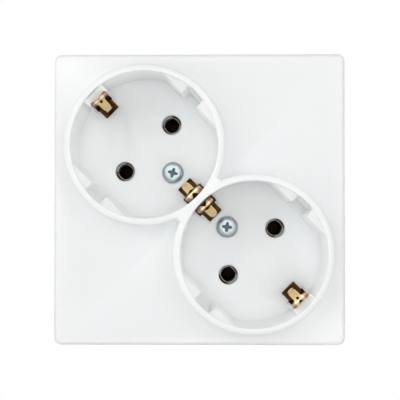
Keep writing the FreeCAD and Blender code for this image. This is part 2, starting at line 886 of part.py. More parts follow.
# Folded brass bar that joins the two receptacles of one pole to its terminal
def contact_bar(label, pole):
    body = place(new_body(label), zero, pole * pin_place, dim.well_turn)
    low = -dim.bar_floor - dim.bar_gauge / 2
    high = -dim.bar_top - dim.bar_gauge / 2
    end, rise, bend = half_channel_length - dim.bar_end_gap, dim.bar_rise_offset, dim.bar_bend
    rounds = [
        (-end, low, zero),
        (-rise - bend, low + bend, bend),
        (-rise + bend, high - bend, -bend),
        (rise - bend, high - bend, -bend),
        (rise + bend, low + bend, bend),
        (end, low, zero),
    ]
    bent_strip(body, "bar", rounds, dim.bar_gauge, dim.bar_width)
    screw = seen_from_front(body, "terminal_hole", zero)
    circle(screw, zero, zero, dim.terminal_radius + dim.hole_gap)
    for side in (-1, 1):
        circle(screw, side * dim.wire_offset, zero, dim.wire_radius)
    pocket(body, screw, dim.bar_floor)
    rivets = seen_from_front(body, "bar_rivet_holes", -dim.bar_floor)
    for side in (-1, 1):
        circle(rivets, side * well_place, zero, dim.bar_rivet_radius + dim.hole_gap)
    pocket(body, rivets, dim.bar_gauge)
    return body


# Sprung brass receptacle that grips one pin between two curved leaves
def receptacle(label, side, pole):
    body = place(new_body(label), side * well_place, pole * pin_place, dim.well_turn)
    base_top = -dim.bar_floor + dim.base_gauge
    half_base = leaf_radius + dim.base_margin
    foot = seen_from_front(body, "receptacle_base", -dim.bar_floor)
    rectangle(foot, -half_base, half_base, -half_base, half_base)
    pad(body, foot, dim.base_gauge)
    leaves = seen_from_front(body, "leaves", base_top)
    circle(leaves, zero, zero, leaf_radius)
    pad(body, leaves, dim.leaf_top - base_top)
    bore = seen_from_side(body, "leaf_bore")
    profile = [
        (zero, -dim.leaf_top),
        (dim.pin_radius + dim.leaf_flare, -dim.leaf_top),
        (dim.pin_radius, dim.leaf_flare_depth - dim.leaf_top),
        (dim.pin_radius, -base_top),
        (zero, -base_top),
    ]
    outline(bore, *profile)
    turned(body, bore, "Groove")
    gap = seen_from_front(body, "leaf_gap", dim.leaf_top)
    rectangle(gap, -half_base, half_base, -dim.leaf_gap / 2, dim.leaf_gap / 2)
    pocket(body, gap, dim.leaf_top - base_top)
    hole = seen_from_front(body, "base_rivet_hole", base_top)
    circle(hole, zero, zero, dim.bar_rivet_radius + dim.hole_gap)
    pocket(body, hole, dim.base_gauge)
    return body


def bar_rivet(side, pole):
    body = place(new_body("bar_rivet"), side * well_place, pole * pin_place, dim.well_turn)
    bottom = -dim.bar_floor - dim.bar_gauge
    top = -dim.bar_floor + dim.base_gauge
    shank, head, cap = dim.bar_rivet_radius, dim.bar_rivet_head, dim.bar_rivet_cap
    turned_piece(
        body,
        "bar_rivet_profile",
        (zero, bottom),
        (shank, bottom),
        (shank, top),
        (head, top),
        (head, top + cap),
        (zero, top + cap),
    )
    return body


# Strip behind the floors that joins the four earth clips
def earth_bridge():
    body = place(new_body("earth_bridge"), zero, zero, dim.well_turn)
    end = outer_clip_place + reach.foot_window_start
    high = bridge_end_top - dim.bridge_gauge / 2
    low = bridge_top - dim.bridge_gauge / 2
    bend = dim.bridge_bend
    rounds = [
        (-end, high, zero),
        (-bridge_rise, high - bend, -bend),
        (-bridge_fall, low + bend, bend),
        (bridge_fall, low + bend, bend),
        (bridge_rise, high - bend, -bend),
        (end, high, zero),
    ]
    bent_strip(body, "bridge", rounds, dim.bridge_gauge, dim.bridge_width)
    holes = seen_from_front(body, "bridge_holes", lip_front)
    for side in (-1, 1):
        circle(holes, side * cover_screw_place, zero, dim.cover_screw_radius + dim.slide_gap)
        circle(holes, side * (well_place - reach.clip_rivet), zero, dim.clip_rivet_radius + dim.hole_gap)
        outer = side * (outer_clip_place + reach.clip_rivet)
        circle(holes, outer, zero, dim.clip_rivet_radius + dim.hole_gap)
    circle(holes, earth_terminal_place, zero, dim.terminal_radius + dim.hole_gap)
    circle(holes, earth_wire_place, zero, dim.bridge_wire_radius)
    pocket(body, holes, lip_front + dim.deck_bottom + dim.bridge_gauge * 2)
    return body


# Bent spring clip that meets the earth strip of a plug
def earth_clip(label, side, outer):
    direction = side if outer else -side
    turn = dim.well_turn if direction > 0 else dim.well_turn + 180
    body = place(new_body(label), side * (outer_clip_place if outer else well_place), zero, turn)
    foot = (bridge_end_top if outer else bridge_top) + dim.clip_gauge / 2
    foot_top = foot + dim.clip_gauge / 2
    tip_centre = reach.clip_tip + dim.clip_gauge / 2 + dim.clip_tip_bend
    rounds = [
        (reach.clip_start, foot, zero),
        (reach.clip_leg - dim.clip_foot_bend, foot + dim.clip_foot_bend, dim.clip_foot_bend),
        (reach.clip_leg - dim.clip_top_bend, clip_top - dim.clip_top_bend, dim.clip_top_bend),
        (tip_centre, clip_tip_height, dim.clip_tip_bend),
        (reach.clip_tail, clip_tail_height, zero),
    ]
    bent_strip(body, "clip", rounds, dim.clip_gauge, dim.clip_width)
    half_tongue, half_width = dim.tongue_width / 2, dim.clip_width / 2 + dim.slide_gap
    trim_depth = clip_top + dim.slide_gap - foot_top - dim.clip_foot_bend
    near_end, far = reach.clip_tip - dim.slide_gap, reach.clip_leg + dim.clip_gauge
    ear_radius = dim.clip_ear_radius
    ear_out = reach.clip_leg + dim.clip_gauge / 2 + dim.clip_ear_edge
    ear_middle, ear_in = ear_out - ear_radius, ear_out - 2 * ear_radius
    ear_side = dim.clip_width / 2 + dim.clip_ear_edge - ear_radius
    inner_side = dim.leg_gap / 2
    sides = seen_from_front(body, "tongue_sides", clip_top + dim.slide_gap)
    outline(
        sides,
        (near_end, -half_width),
        (far, -half_width),
        (far, -inner_side),
        (ear_out, -inner_side),
        (ear_middle, -ear_side, -ear_radius),
        (ear_in, -half_tongue),
        (reach.clip_tip + half_tongue, zero, -half_tongue),
        (ear_in, half_tongue),
        (ear_middle, ear_side, -ear_radius),
        (ear_out, inner_side),
        (far, inner_side),
        (far, half_width),
        (near_end, half_width),
    )
    pocket(body, sides, trim_depth)
    legs = seen_from_front(body, "leg_gap", clip_top + dim.slide_gap)
    outline(
        legs,
        (reach.fork, -dim.fork_width / 2),
        (far, -inner_side),
        (far, inner_side),
        (reach.fork, dim.fork_width / 2),
    )
    pocket(body, legs, trim_depth)
    hole = seen_from_front(body, "clip_hole", clip_top + dim.slide_gap)
    circle(hole, reach.clip_hole, zero, dim.clip_hole_radius)
    pocket(body, hole, clip_tail_height)
    window = seen_from_front(body, "foot_window", foot - dim.clip_gauge)
    half_window = dim.foot_window_width / 2
    rectangle(window, reach.foot_window_start, reach.foot_window_end, -half_window, half_window)
    pocket(body, window, dim.clip_gauge * 2, towards_room=True)
    rivet = seen_from_front(body, "clip_rivet_hole", foot - dim.clip_gauge)
    circle(rivet, reach.clip_rivet, zero, dim.clip_rivet_radius + dim.hole_gap)
    pocket(body, rivet, dim.clip_gauge * 2, towards_room=True)
    return body


def clip_rivet(side, outer):
    across = side * (outer_clip_place + reach.clip_rivet if outer else well_place - reach.clip_rivet)
    body = place(new_body("clip_rivet"), across, zero, dim.well_turn)
    bridge_face = bridge_end_top if outer else bridge_top
    bottom = bridge_face - dim.bridge_gauge
    top = bridge_face + dim.clip_gauge
    shank, head, cap = dim.clip_rivet_radius, dim.clip_rivet_head, dim.clip_rivet_cap
    turned_piece(
        body,
        "clip_rivet_profile",
        (zero, bottom),
        (shank, bottom),
        (shank, top),
        (head, top),
        (head, top + cap),
        (zero, top + cap),
    )
    return body


# Square clamp plate under a terminal screw
def clamp_plate(label, across, up, length):
    body = place(new_body(label), across, up, dim.well_turn)
    bottom = bridge_top
    plate = seen_from_front(body, "clamp", bottom)
    rectangle(plate, -length / 2, length / 2, -dim.clamp_width / 2, dim.clamp_width / 2)
    pad(body, plate, dim.clamp_gauge)
    hole = seen_from_front(body, "clamp_hole", bottom + dim.clamp_gauge)
    circle(hole, zero, zero, dim.terminal_radius + dim.screw_gap)
    pocket(body, hole, dim.clamp_gauge)
    for side in (-1, 1):
        groove = seen_from_front(body, "clamp_groove", bottom)
        middle = side * (dim.terminal_radius + length / 2) / 2
        low, high = middle - dim.clamp_groove, middle + dim.clamp_groove
        rectangle(groove, low, high, -dim.clamp_width / 2, dim.clamp_width / 2)
        pocket(body, groove, dim.clamp_groove, towards_room=True)
    return body


def terminal_screw(label, across, up):
    body = place(new_body(label), across, up, dim.well_turn)
    seat = bridge_top + dim.clamp_gauge
    top = seat + dim.terminal_head_height
    tip = -dim.terminal_reach
    shank, head = dim.terminal_radius, dim.terminal_head
    turned_piece(
        body,
        "terminal_profile",
        (zero, tip),
        (zero, top),
        (head - dim.screw_tip, top),
        (head, top - dim.screw_tip),
        (head, seat),
        (shank, seat),
        (shank, tip + dim.screw_tip),
        (shank - dim.screw_tip, tip),
    )
    slit = seen_from_front(body, "screw_slit", top)
    half_slit = dim.terminal_slot_width / 2
    rectangle(slit, -head, head, -half_slit, half_slit)
    pocket(body, slit, dim.terminal_slot_depth)
    return body


# Identical fasteners share one node.
def fasteners(label, bodies):
    group = doc.addObject("Part::Compound", label)
    group.Label = label
    group.Links = bodies
    return group


sides = {"upper": -1, "lower": 1}
poles = {"live": 1, "neutral": -1}

nodes = [cover_plate(), support_ring(), contact_block(), rear_cover(), earth_bridge()]
for word, side in sides.items():
    nodes.append(cover_screw(f"cover_screw_{word}", side))
    nodes.append(threaded_bush(f"threaded_bush_{word}", side))
    nodes.append(earth_clip(f"earth_clip_{word}_outer", side, outer=True))
    nodes.append(earth_clip(f"earth_clip_{word}_inner", side, outer=False))
for word, pole in poles.items():
    nodes.append(contact_bar(f"{word}_bar", pole))
    nodes.append(clamp_plate(f"{word}_clamp_plate", zero, pole * pin_place, dim.clamp_length))
    nodes.append(terminal_screw(f"{word}_terminal_screw", zero, pole * pin_place))
    for well_word, side in sides.items():
        nodes.append(receptacle(f"{word}_receptacle_{well_word}", side, pole))
nodes.append(clamp_plate("earth_clamp_plate", earth_terminal_place, zero, dim.earth_clamp_length))
nodes.append(terminal_screw("earth_terminal_screw", earth_terminal_place, zero))
nodes.append(fasteners("rear_cover_screws", [rear_cover_screw(side) for side in sides.values()]))
nodes.append(fasteners("ring_rivets", [ring_rivet(side) for side in sides.values()]))
bar_rivets = [bar_rivet(side, pole) for side in sides.values() for pole in poles.values()]
nodes.append(fasteners("bar_rivets", bar_rivets))
clip_rivets = [clip_rivet(side, outer) for side in sides.values() for outer in (True, False)]
nodes.append(fasteners("clip_rivets", clip_rivets))
doc.recompute()

for item in doc.Objects:
    if "Invalid" in item.State or "Error" in item.State:
        raise ValueError(f"{item.Name} of the model failed: {item.State}")
os.makedirs("parts", exist_ok=True)
for node in nodes:
    if node.Shape.isNull() or not node.Shape.isValid():
        raise ValueError(f"{node.Label} has no valid shape")
    node.Shape.exportStep(f"parts/{node.Label}.step")
    box = node.Shape.BoundBox
    print(f"{node.Label}: {node.Shape.Volume:.1f} mm3, {len(node.Shape.Solids)} solid(s), {box}")
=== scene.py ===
import bpy
import json
import math
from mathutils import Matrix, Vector


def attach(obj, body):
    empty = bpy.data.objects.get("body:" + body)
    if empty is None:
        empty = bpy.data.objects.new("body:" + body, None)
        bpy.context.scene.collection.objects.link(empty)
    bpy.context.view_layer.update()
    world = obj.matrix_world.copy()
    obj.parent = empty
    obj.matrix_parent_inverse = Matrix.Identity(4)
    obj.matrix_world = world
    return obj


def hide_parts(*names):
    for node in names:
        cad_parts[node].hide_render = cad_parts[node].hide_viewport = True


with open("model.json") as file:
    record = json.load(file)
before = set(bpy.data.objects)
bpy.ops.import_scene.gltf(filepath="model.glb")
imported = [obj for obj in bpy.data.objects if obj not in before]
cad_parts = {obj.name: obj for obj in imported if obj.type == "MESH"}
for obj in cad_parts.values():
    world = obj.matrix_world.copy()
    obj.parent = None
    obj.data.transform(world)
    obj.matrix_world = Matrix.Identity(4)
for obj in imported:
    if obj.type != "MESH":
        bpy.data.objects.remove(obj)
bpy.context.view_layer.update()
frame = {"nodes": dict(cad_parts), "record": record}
nodes = frame["nodes"]
wellTurn = math.radians(45)
print("frame loaded")


# Shader values: an expression on them adds its Math nodes
class Value:
    def __init__(self, builder, socket):
        self.builder = builder
        self.socket = socket

    def math(self, operation, first, second=0.0):
        return self.builder.node("ShaderNodeMath", {"operation": operation}, {0: first, 1: second})

    def __add__(self, other):
        return self.math("ADD", self, other)

    def __radd__(self, other):
        return self.math("ADD", other, self)

    def __sub__(self, other):
        return self.math("SUBTRACT", self, other)

    def __rsub__(self, other):
        return self.math("SUBTRACT", other, self)

    def __mul__(self, other):
        return self.math("MULTIPLY", self, other)

    def __rmul__(self, other):
        return self.math("MULTIPLY", other, self)

    def __pow__(self, other):
        return self.math("POWER", self, other)

    def __abs__(self):
        return self.math("ABSOLUTE", self)

    def orMore(self, other):
        return self.math("MAXIMUM", self, other)


class NodeBuilder:
    def __init__(self, tree):
        self.tree = tree
        tree.nodes.clear()

    def set(self, node, sockets):
        for name, value in sockets.items():
            name = name.replace("_", " ") if isinstance(name, str) else name
            if isinstance(value, Value):
                self.tree.links.new(value.socket, node.inputs[name])
            else:
                node.inputs[name].default_value = value

    # Settings are set before the sockets; a ramp's stops are (place, colour) pairs
    def node(self, kind, settings=None, sockets=None, output=0):
        node = self.tree.nodes.new(kind)
        for name, value in (settings or {}).items():
            if name == "stops":
                self.setStops(node.color_ramp, value)
            else:
                setattr(node, name, value)
        self.set(node, sockets or {})
        return Value(self, node.outputs[output])

    def setStops(self, ramp, stops):
        while len(ramp.elements) < len(stops):
            ramp.elements.new(0.5)
        for element, (place, tone) in zip(ramp.elements, stops):
            element.position = place
            element.color = colour(*tone)

    def lightPath(self, ray):
        return self.node("ShaderNodeLightPath", output=f"Is {ray} Ray")

    def end(self, kind, surface):
        self.set(self.tree.nodes.new(kind), {"Surface": surface})


class Finish(NodeBuilder):
    def __init__(self, name, **constants):
        self.material = bpy.data.materials.new(name)
        self.material.use_nodes = True
        super().__init__(self.material.node_tree)
        self.shader = self.tree.nodes.new("ShaderNodeBsdfPrincipled")
        self.set(self.shader, constants)

    def coordinates(self):
        return self.node("ShaderNodeTexCoord", output="Object")

    def place(self, turn=0.0, scale=(1, 1, 1)):
        sockets = {"Vector": self.coordinates(), "Rotation": (0, turn, 0), "Scale": scale}
        return self.node("ShaderNodeMapping", {}, sockets)

    def axis(self, vector, name):
        return self.node("ShaderNodeSeparateXYZ", {}, {0: vector}, output=name)

    # Distances from the plate's middle: along the line of the wells, along the line of the pins
    # and from the wall
    def platePlace(self):
        turned = self.place(turn=wellTurn)
        return abs(self.axis(turned, "Z")), abs(self.axis(turned, "X")), 0.0 - self.axis(turned, "Y")

    def noise(self, where, scale, detail=2.0):
        sockets = {"Vector": where, "Scale": scale, "Detail": detail, "Roughness": 0.5}
        return self.node("ShaderNodeTexNoise", {}, sockets)

    def ramp(self, value, *stops):
        return self.node("ShaderNodeValToRGB", {"stops": stops}, {"Fac": value})

    # 0 at low, 1 at high
    def between(self, value, low, high):
        return self.node("ShaderNodeMapRange", {}, {"Value": value, "From Min": low, "From Max": high})

    def mix(self, factor, first, second):
        return self.node("ShaderNodeMix", {"data_type": "RGBA"}, {0: factor, 6: first, 7: second}, output=2)

    def bump(self, height, strength, distance):
        sockets = {"Height": height, "Strength": strength, "Distance": distance}
        self.set(self.shader, {"Normal": self.node("ShaderNodeBump", {}, sockets)})

    def surface(self, **sockets):
        self.set(self.shader, sockets)
        self.end("ShaderNodeOutputMaterial", Value(self, self.shader.outputs[0]))
        return self.material


def colour(red, green, blue):
    return (red, green, blue, 1.0)


# A finish with clouds of colour, which its roughness follows, and a fine grain
def cloudyFinish(name, values, **constants):
    finish = Finish(name, **constants)
    clouds = finish.noise(finish.place(), values["cloudScale"], values["cloudDetail"])
    tint = finish.ramp(clouds, *values["stops"])
    turn, stretch = values["grainTurn"], values["grainStretch"]
    grain = finish.noise(finish.place(turn, (1, stretch, stretch)), values["grainScale"])
    finish.bump(grain, values["grainStrength"], values["grainDepth"])
    return finish, tint, values["roughness"] + values["roughSpread"] * clouds


moulding = {
    "stops": ((0.35, (0.93, 0.95, 0.945)), (0.7, (0.94, 0.965, 0.965))),
    "cloudScale": 35,
    "cloudDetail": 3,
    "grainTurn": 0,
    "grainStretch": 1,
    "grainScale": 900,
    "grainStrength": 0.25,
    "grainDepth": 0.00002,
    "roughness": 0.3,
    "roughSpread": 0.08,
    "specular": 0.45,
    "glow": 0.6,
    "glowDepth": (0.003, 0.0028, 0.0026),
    "paintedNotchGlow": 0.42,
    "notchStart": 0.0388,
    "notchEnd": 0.0412,
    "notchHalf": 0.0033,
    "notchTop": 0.0160,
    "notchSoft": 0.0004,
}


# White plastic that lets some light through, with a painted glow (emission) in the outer notches that stands
# for light shining through where the wall is thin
def whiteMoulding():
    finish, tint, rough = cloudyFinish(
        "whiteMoulding",
        moulding,
        Specular_IOR_Level=moulding["specular"],
        Subsurface_Weight=moulding["glow"],
        Subsurface_Radius=moulding["glowDepth"],
        Subsurface_Scale=1.0,
        Emission_Strength=moulding["paintedNotchGlow"],
    )
    # Painted light: an emission glow in the outer notches, below the notch top
    soft, half, top = moulding["notchSoft"], moulding["notchHalf"], moulding["notchTop"]
    across, up, height = finish.platePlace()
    outer = finish.between(across, moulding["notchStart"], moulding["notchEnd"])
    middle = finish.between(up, half + soft, half)
    low = finish.between(height, top + soft, top)
    paintedGlowMask = finish.mix(outer * middle * low, colour(0, 0, 0), colour(1, 1, 1))
    return finish.surface(Base_Color=tint, Roughness=rough, Emission_Color=paintedGlowMask)


zinc = {
    "stops": ((0.3, (0.62, 0.68, 0.74)), (0.55, (0.78, 0.82, 0.85)), (0.75, (0.78, 0.79, 0.74))),
    "cloudScale": 160,
    "cloudDetail": 4,
    "grainTurn": 0,
    "grainStretch": 12,
    "grainScale": 300,
    "grainStrength": 0.2,
    "grainDepth": 0.00002,
    "roughness": 0.28,
    "roughSpread": 0.15,
    "shade": (0.07, 0.032, 0.010),
    "shadeStart": 0.0330,
    "shadeHalf": 0.0025,
    "shadeHeight": 0.0005,
    "shadeSoft": 0.0005,
}


# Zinc with a painted brown shade below the outer clips' slots
def zincPlating():
    finish, tint, rough = cloudyFinish("zincPlating", zinc, Metallic=1.0)
    soft, start, half, low = zinc["shadeSoft"], zinc["shadeStart"], zinc["shadeHalf"], zinc["shadeHeight"]
    across, up, height = finish.platePlace()
    under = finish.between(across, start, start + soft)
    middle = finish.between(up, half + soft, half)
    front = finish.between(height, low, low + soft / 2)
    tint = finish.mix(under * middle * front, tint, colour(*zinc["shade"]))
    return finish.surface(Base_Color=tint, Roughness=rough)


brass = {
    "stops": ((0.35, (0.52, 0.36, 0.18)), (0.6, (0.83, 0.64, 0.36))),
    "cloudScale": 220,
    "cloudDetail": 4,
    "grainTurn": wellTurn,
    "grainStretch": 20,
    "grainScale": 400,
    "grainStrength": 0.2,
    "grainDepth": 0.00001,
    "roughness": 0.28,
    "roughSpread": 0.2,
}
blockPlastic = {
    "stops": ((0.3, (0.035, 0.035, 0.038)), (0.7, (0.06, 0.06, 0.062))),
    "cloudScale": 300,
    "cloudDetail": 4,
    "grainTurn": 0,
    "grainStretch": 1,
    "grainScale": 2500,
    "grainStrength": 0.4,
    "grainDepth": 0.00003,
    "roughness": 0.5,
    "roughSpread": 0.2,
}


def plainFinish(name, values, **constants):
    finish, tint, rough = cloudyFinish(name, values, **constants)
    return finish.surface(Base_Color=tint, Roughness=rough)


finishes = {
    "white_moulding": whiteMoulding(),
    "block_moulding": plainFinish("blockMoulding", blockPlastic),
    "zinc_steel": zincPlating(),
    "contact_brass": plainFinish("contactBrass", brass, Metallic=1.0),
}
finishes["screw_steel"] = finishes["zinc_steel"]
finishes["spring_bronze"] = finishes["contact_brass"]
slots = {entry["node"]: entry["material_slot"] for entry in frame["record"]["subparts"]}
for name, piece in nodes.items():
    piece.data.materials.clear()
    piece.data.materials.append(finishes[slots[name]])
print("finishes made")


# Places on the plate: across runs along the line of the wells, up along the line of the pins
def onPlate(across, up=0.0):
    turn = math.sqrt(0.5)
    return Vector(((across + up) * turn, 0, (up - across) * turn))


def acrossOf(point):
    return (point[0] - point[2]) * math.sqrt(0.5)


# Modelling steps that several pieces share; places that lie as near as this are the same
near = 0.00001


def pickOnly(piece):
    bpy.ops.object.select_all(action="DESELECT")
    piece.select_set(True)
    bpy.context.view_layer.objects.active = piece


def edit(piece):
    pickOnly(piece)
    bpy.ops.object.mode_set(mode="EDIT")


def done():
    bpy.ops.object.mode_set(mode="OBJECT")


# Selects the vertices, edges or faces whose vertices' places pass the test, in edit mode
def pick(piece, test, kind="VERT"):
    bpy.ops.mesh.select_mode(type="VERT")
    bpy.ops.mesh.select_all(action="DESELECT")
    done()
    for vertex in piece.data.vertices:
        vertex.select = bool(test(vertex.co))
    bpy.ops.object.mode_set(mode="EDIT")
    bpy.ops.mesh.select_mode(type=kind)


def pickAll():
    bpy.ops.mesh.select_all(action="SELECT")


def pointOutwards():
    pickAll()
    bpy.ops.mesh.normals_make_consistent(inside=False)


def extrudeEdges(depth):
    bpy.ops.mesh.extrude_edges_move(TRANSFORM_OT_translate={"value": (0, depth, 0)})


def settle(piece):
    pickOnly(piece)
    bpy.ops.object.transform_apply(location=True, rotation=True, scale=True)


def moveTo(piece, place=(0, 0, 0), turn=0.0):
    piece.location = place
    piece.rotation_euler = (0, turn, 0)
    settle(piece)


def addCircle(name, vertices, radius, place, fill="NOTHING"):
    bpy.ops.object.select_all(action="DESELECT")
    bpy.ops.mesh.primitive_circle_add(
        vertices=vertices, radius=radius, fill_type=fill, location=place, rotation=(math.pi / 2, 0, 0)
    )
    piece = bpy.context.object
    piece.name = name
    settle(piece)
    return piece


def applyModifier(piece, kind, **settings):
    pickOnly(piece)
    bpy.ops.object.modifier_add(type=kind)
    modifier = piece.modifiers[-1]
    for name, value in settings.items():
        setattr(modifier, name, value)
    bpy.ops.object.modifier_apply(modifier=modifier.name)


def soften(piece, width, angle=math.radians(35)):
    applyModifier(
        piece,
        "BEVEL",
        width=width,
        segments=2,
        limit_method="ANGLE",
        angle_limit=angle,
        use_clamp_overlap=False,
    )
    bpy.ops.object.shade_smooth_by_angle(angle=angle)


def mergedCopy(node, name):
    piece = bpy.data.objects.new(name, nodes[node].data.copy())
    bpy.context.scene.collection.objects.link(piece)
    edit(piece)
    pickAll()
    bpy.ops.mesh.remove_doubles(threshold=0.000002)
    bpy.ops.mesh.dissolve_limited(angle_limit=math.radians(0.5))
    done()
    bpy.ops.mesh.customdata_custom_splitnormals_clear()
    return piece


def copyOf(piece, name):
    twin = piece.copy()
    twin.data = piece.data.copy()
    twin.name = name
    bpy.context.scene.collection.objects.link(twin)
    return twin


def fit(piece, finish, slot, *standsFor):
    piece.data.materials.clear()
    piece.data.materials.append(finish)
    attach(piece, "root")
    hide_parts(*standsFor)


wells = {"upper": -1, "lower": 1}
poles = {"live": 1, "neutral": -1}
socket = {"wellPlace": 0.021, "pinPlace": 0.0095, "floorBack": 0.0027}


# Puts a copy of a piece at each pin hole, and deletes the piece
def copyToPins(piece, kind):
    copies = {}
    for word, side in wells.items():
        for pole, upSide in poles.items():
            twin = copyOf(piece, f"{pole}{kind}{word.title()}")
            moveTo(twin, onPlate(side * socket["wellPlace"], upSide * socket["pinPlace"]), wellTurn)
            copies[pole, word] = twin
    pickOnly(piece)
    bpy.ops.object.delete()
    return copies


# Front plate: its sharp edges are softened
plate = {"softEdge": 0.00018, "rim": 0.022, "mouth": 0.0205, "rimDraw": 0.97, "ribReach": 0.0004}


# The rims' outer edge is drawn in, so that it rounds over softly
def roundRims(piece):
    for side in wells.values():
        middle = onPlate(side * socket["wellPlace"])

        def onEdge(point):
            away = math.hypot(point[0] - middle[0], point[2] - middle[2])
            ownSide = acrossOf(point) * side > plate["ribReach"]
            return ownSide and abs(point[1] + plate["rim"]) < near and away > plate["mouth"]

        edit(piece)
        pick(piece, onEdge)
        size = plate["rimDraw"]
        bpy.ops.transform.resize(value=(size, 1, size), center_override=middle)
        done()


def coverPlate():
    piece = mergedCopy("cover_plate", "coverPlate")
    roundRims(piece)
    soften(piece, plate["softEdge"])
    fit(piece, finishes["white_moulding"], "white_moulding", "cover_plate")


coverPlate()
print("cover plate dressed")


# Guides behind the pin holes: two curved walls each, white moulding painted grey as shade, seen as grey
# crescents
guide = {
    "sides": 64,
    "radius": 0.00275,
    "gauge": 0.0006,
    "end": -0.0026,
    "spread": 0.0021,
    "softEdge": 0.00009,
    "tone": (0.34, 0.36, 0.35),
    "darkerShadeTone": (0.238, 0.252, 0.245),
    "cloudScale": 300,
    "roughness": 0.5,
    "roughSpread": 0.1,
}


# Painted shade: grey clouds for the shaded plastic deep in the pin holes
def guideShadeGrey():
    finish = Finish("guideShadeGrey")
    clouds = finish.noise(finish.place(), guide["cloudScale"], 3)
    tint = finish.ramp(clouds, (0.35, guide["tone"]), (0.7, guide["darkerShadeTone"]))
    return finish.surface(Base_Color=tint, Roughness=guide["roughness"] + guide["roughSpread"] * clouds)


def pinGuide():
    piece = addCircle("pinGuide", guide["sides"], guide["radius"], (0, -socket["floorBack"], 0))
    edit(piece)
    pick(piece, lambda point: abs(point[2]) > guide["spread"])
    bpy.ops.mesh.delete(type="VERT")
    pickAll()
    extrudeEdges(socket["floorBack"] - guide["end"])
    done()
    applyModifier(piece, "SOLIDIFY", thickness=guide["gauge"], offset=1)
    edit(piece)
    pointOutwards()
    done()
    soften(piece, guide["softEdge"])
    return piece


guideFinish = guideShadeGrey()
for piece in copyToPins(pinGuide(), "Guide").values():
    fit(piece, guideFinish, "white_moulding")
print("pin guides made")


# Cover screws: a domed head with a four-armed star recess. The star gives each vertex's share of
# the arm, by its steps from the nearest arm, and the rings are (radius, height) pairs
screw = {
    "sides": 32,
    "arm": 0.0015,
    "ringGap": 0.0001,
    "star": {0: 1.0, 1: 0.98, 2: 0.75, 3: 0.57, 4: 0.51},
    "recessDepth": 0.00035,
    "recessTaper": 0.8,
    "head": ((0.0019, 0.0053), (0.0023, 0.00518), (0.0026, 0.0049), (0.0028, 0.0045), (0.0028, 0.0037)),
    "shank": ((0.0015, 0.0037), (0.0015, -0.0080), (0.0012, -0.0083)),
    "place": 0.011,
    "turns": {"upper": 16, "lower": 7},
    "upperTone": (0.46, 0.53, 0.56),
    "shadedTone": (0.075, 0.095, 0.105),
    "upperToneHeight": 0.00525,
    "shadedToneHeight": 0.0050,
    "shadeBlendSoft": 0.0001,
    "cloudScale": 700,
    "roughness": 0.34,
    "roughSpread": 0.2,
}


# Zinc with painted shade that is dark in the recess only
def screwZinc():
    finish = Finish("screwZinc", Metallic=1.0)
    clouds = finish.noise(finish.place(), screw["cloudScale"], 3)
    soft = screw["shadeBlendSoft"]
    across, up, height = finish.platePlace()
    beside = across - screw["place"]
    away = (beside * beside + up * up) ** 0.5
    inside = finish.between(away, screw["arm"] + soft, screw["arm"])
    lit = finish.between(height + soft * clouds, screw["shadedToneHeight"], screw["upperToneHeight"])
    tint = finish.mix(inside * (1.0 - lit), colour(*screw["upperTone"]), colour(*screw["shadedTone"]))
    return finish.surface(Base_Color=tint, Roughness=screw["roughness"] + screw["roughSpread"] * clouds)


def fromAxis(point):
    return math.hypot(point[0], point[2])


# Resizes the picked part of a round piece about its axis
def drawIn(size):
    bpy.ops.transform.resize(value=(size, 1, size), center_override=(0, 0, 0))


def coverScrew():
    radius, height = screw["head"][0]
    piece = addCircle("coverScrewUpper", screw["sides"], radius, (0, -height, 0), "NGON")
    edit(piece)
    pickAll()
    bpy.ops.mesh.inset(thickness=radius - screw["arm"])
    inner = radius - screw["ringGap"]
    quarter = screw["sides"] // 4
    step = 2 * math.pi / screw["sides"]
    for steps, size in screw["star"].items():

        def isHere(point):
            place = round(math.atan2(point[2], point[0]) / step) % quarter
            return fromAxis(point) < inner and min(place, quarter - place) == steps

        pick(piece, isHere)
        drawIn(size)
    pick(piece, lambda point: fromAxis(point) < inner, "FACE")
    bpy.ops.mesh.extrude_region_move(TRANSFORM_OT_translate={"value": (0, screw["recessDepth"], 0)})
    drawIn(screw["recessTaper"])
    for nextRadius, nextHeight in (*screw["head"][1:], *screw["shank"]):

        def onRing(point):
            return abs(fromAxis(point) - radius) < near and abs(point[1] + height) < near

        pick(piece, onRing, "EDGE")
        extrudeEdges(height - nextHeight)
        drawIn(nextRadius / radius)
        radius, height = nextRadius, nextHeight
    bpy.ops.mesh.edge_face_add()
    pointOutwards()
    done()
    bpy.ops.object.shade_smooth_by_angle(angle=math.radians(30))
    return piece


screwFinish = screwZinc()
upperScrew = coverScrew()
lowerScrew = copyOf(upperScrew, "coverScrewLower")
for piece, (word, side) in zip((upperScrew, lowerScrew), wells.items()):
    moveTo(piece, onPlate(side * screw["place"]), math.radians(screw["turns"][word]))
    fit(piece, screwFinish, "screw_steel", f"cover_screw_{word}")
print("cover screws made")


# Sprung leaves in the pin holes: brighter at the top, with painted shade darkening them further down
leaf = {
    "sides": 96,
    "curve": 0.0032,
    "apart": 0.0040,
    "halfWidth": 0.0021,
    "gauge": 0.0004,
    "softEdge": 0.00006,
    "top": 0.0015,
    "bottom": -0.0150,
    "upperTone": (0.26, 0.20, 0.14),
    "shadedTone": (0.030, 0.020, 0.014),
    "upperToneHeight": 0.0016,
    "shadedToneHeight": 0.0004,
    "shadeBlendSoft": 0.0004,
    "cloudScale": 700,
    "roughness": 0.45,
    "roughSpread": 0.2,
}


def leafBrass():
    finish = Finish("leafBrass", Metallic=1.0)
    where = finish.place()
    clouds = finish.noise(where, leaf["cloudScale"], 3)
    height = 0.0 - finish.axis(where, "Y")
    # Painted shade: darker with depth down the pin holes
    lit = finish.between(height + leaf["shadeBlendSoft"] * clouds, leaf["shadedToneHeight"], leaf["upperToneHeight"])
    tint = finish.ramp(lit, (0.0, leaf["shadedTone"]), (1.0, leaf["upperTone"]))
    return finish.surface(Base_Color=tint, Roughness=leaf["roughness"] + leaf["roughSpread"] * clouds)


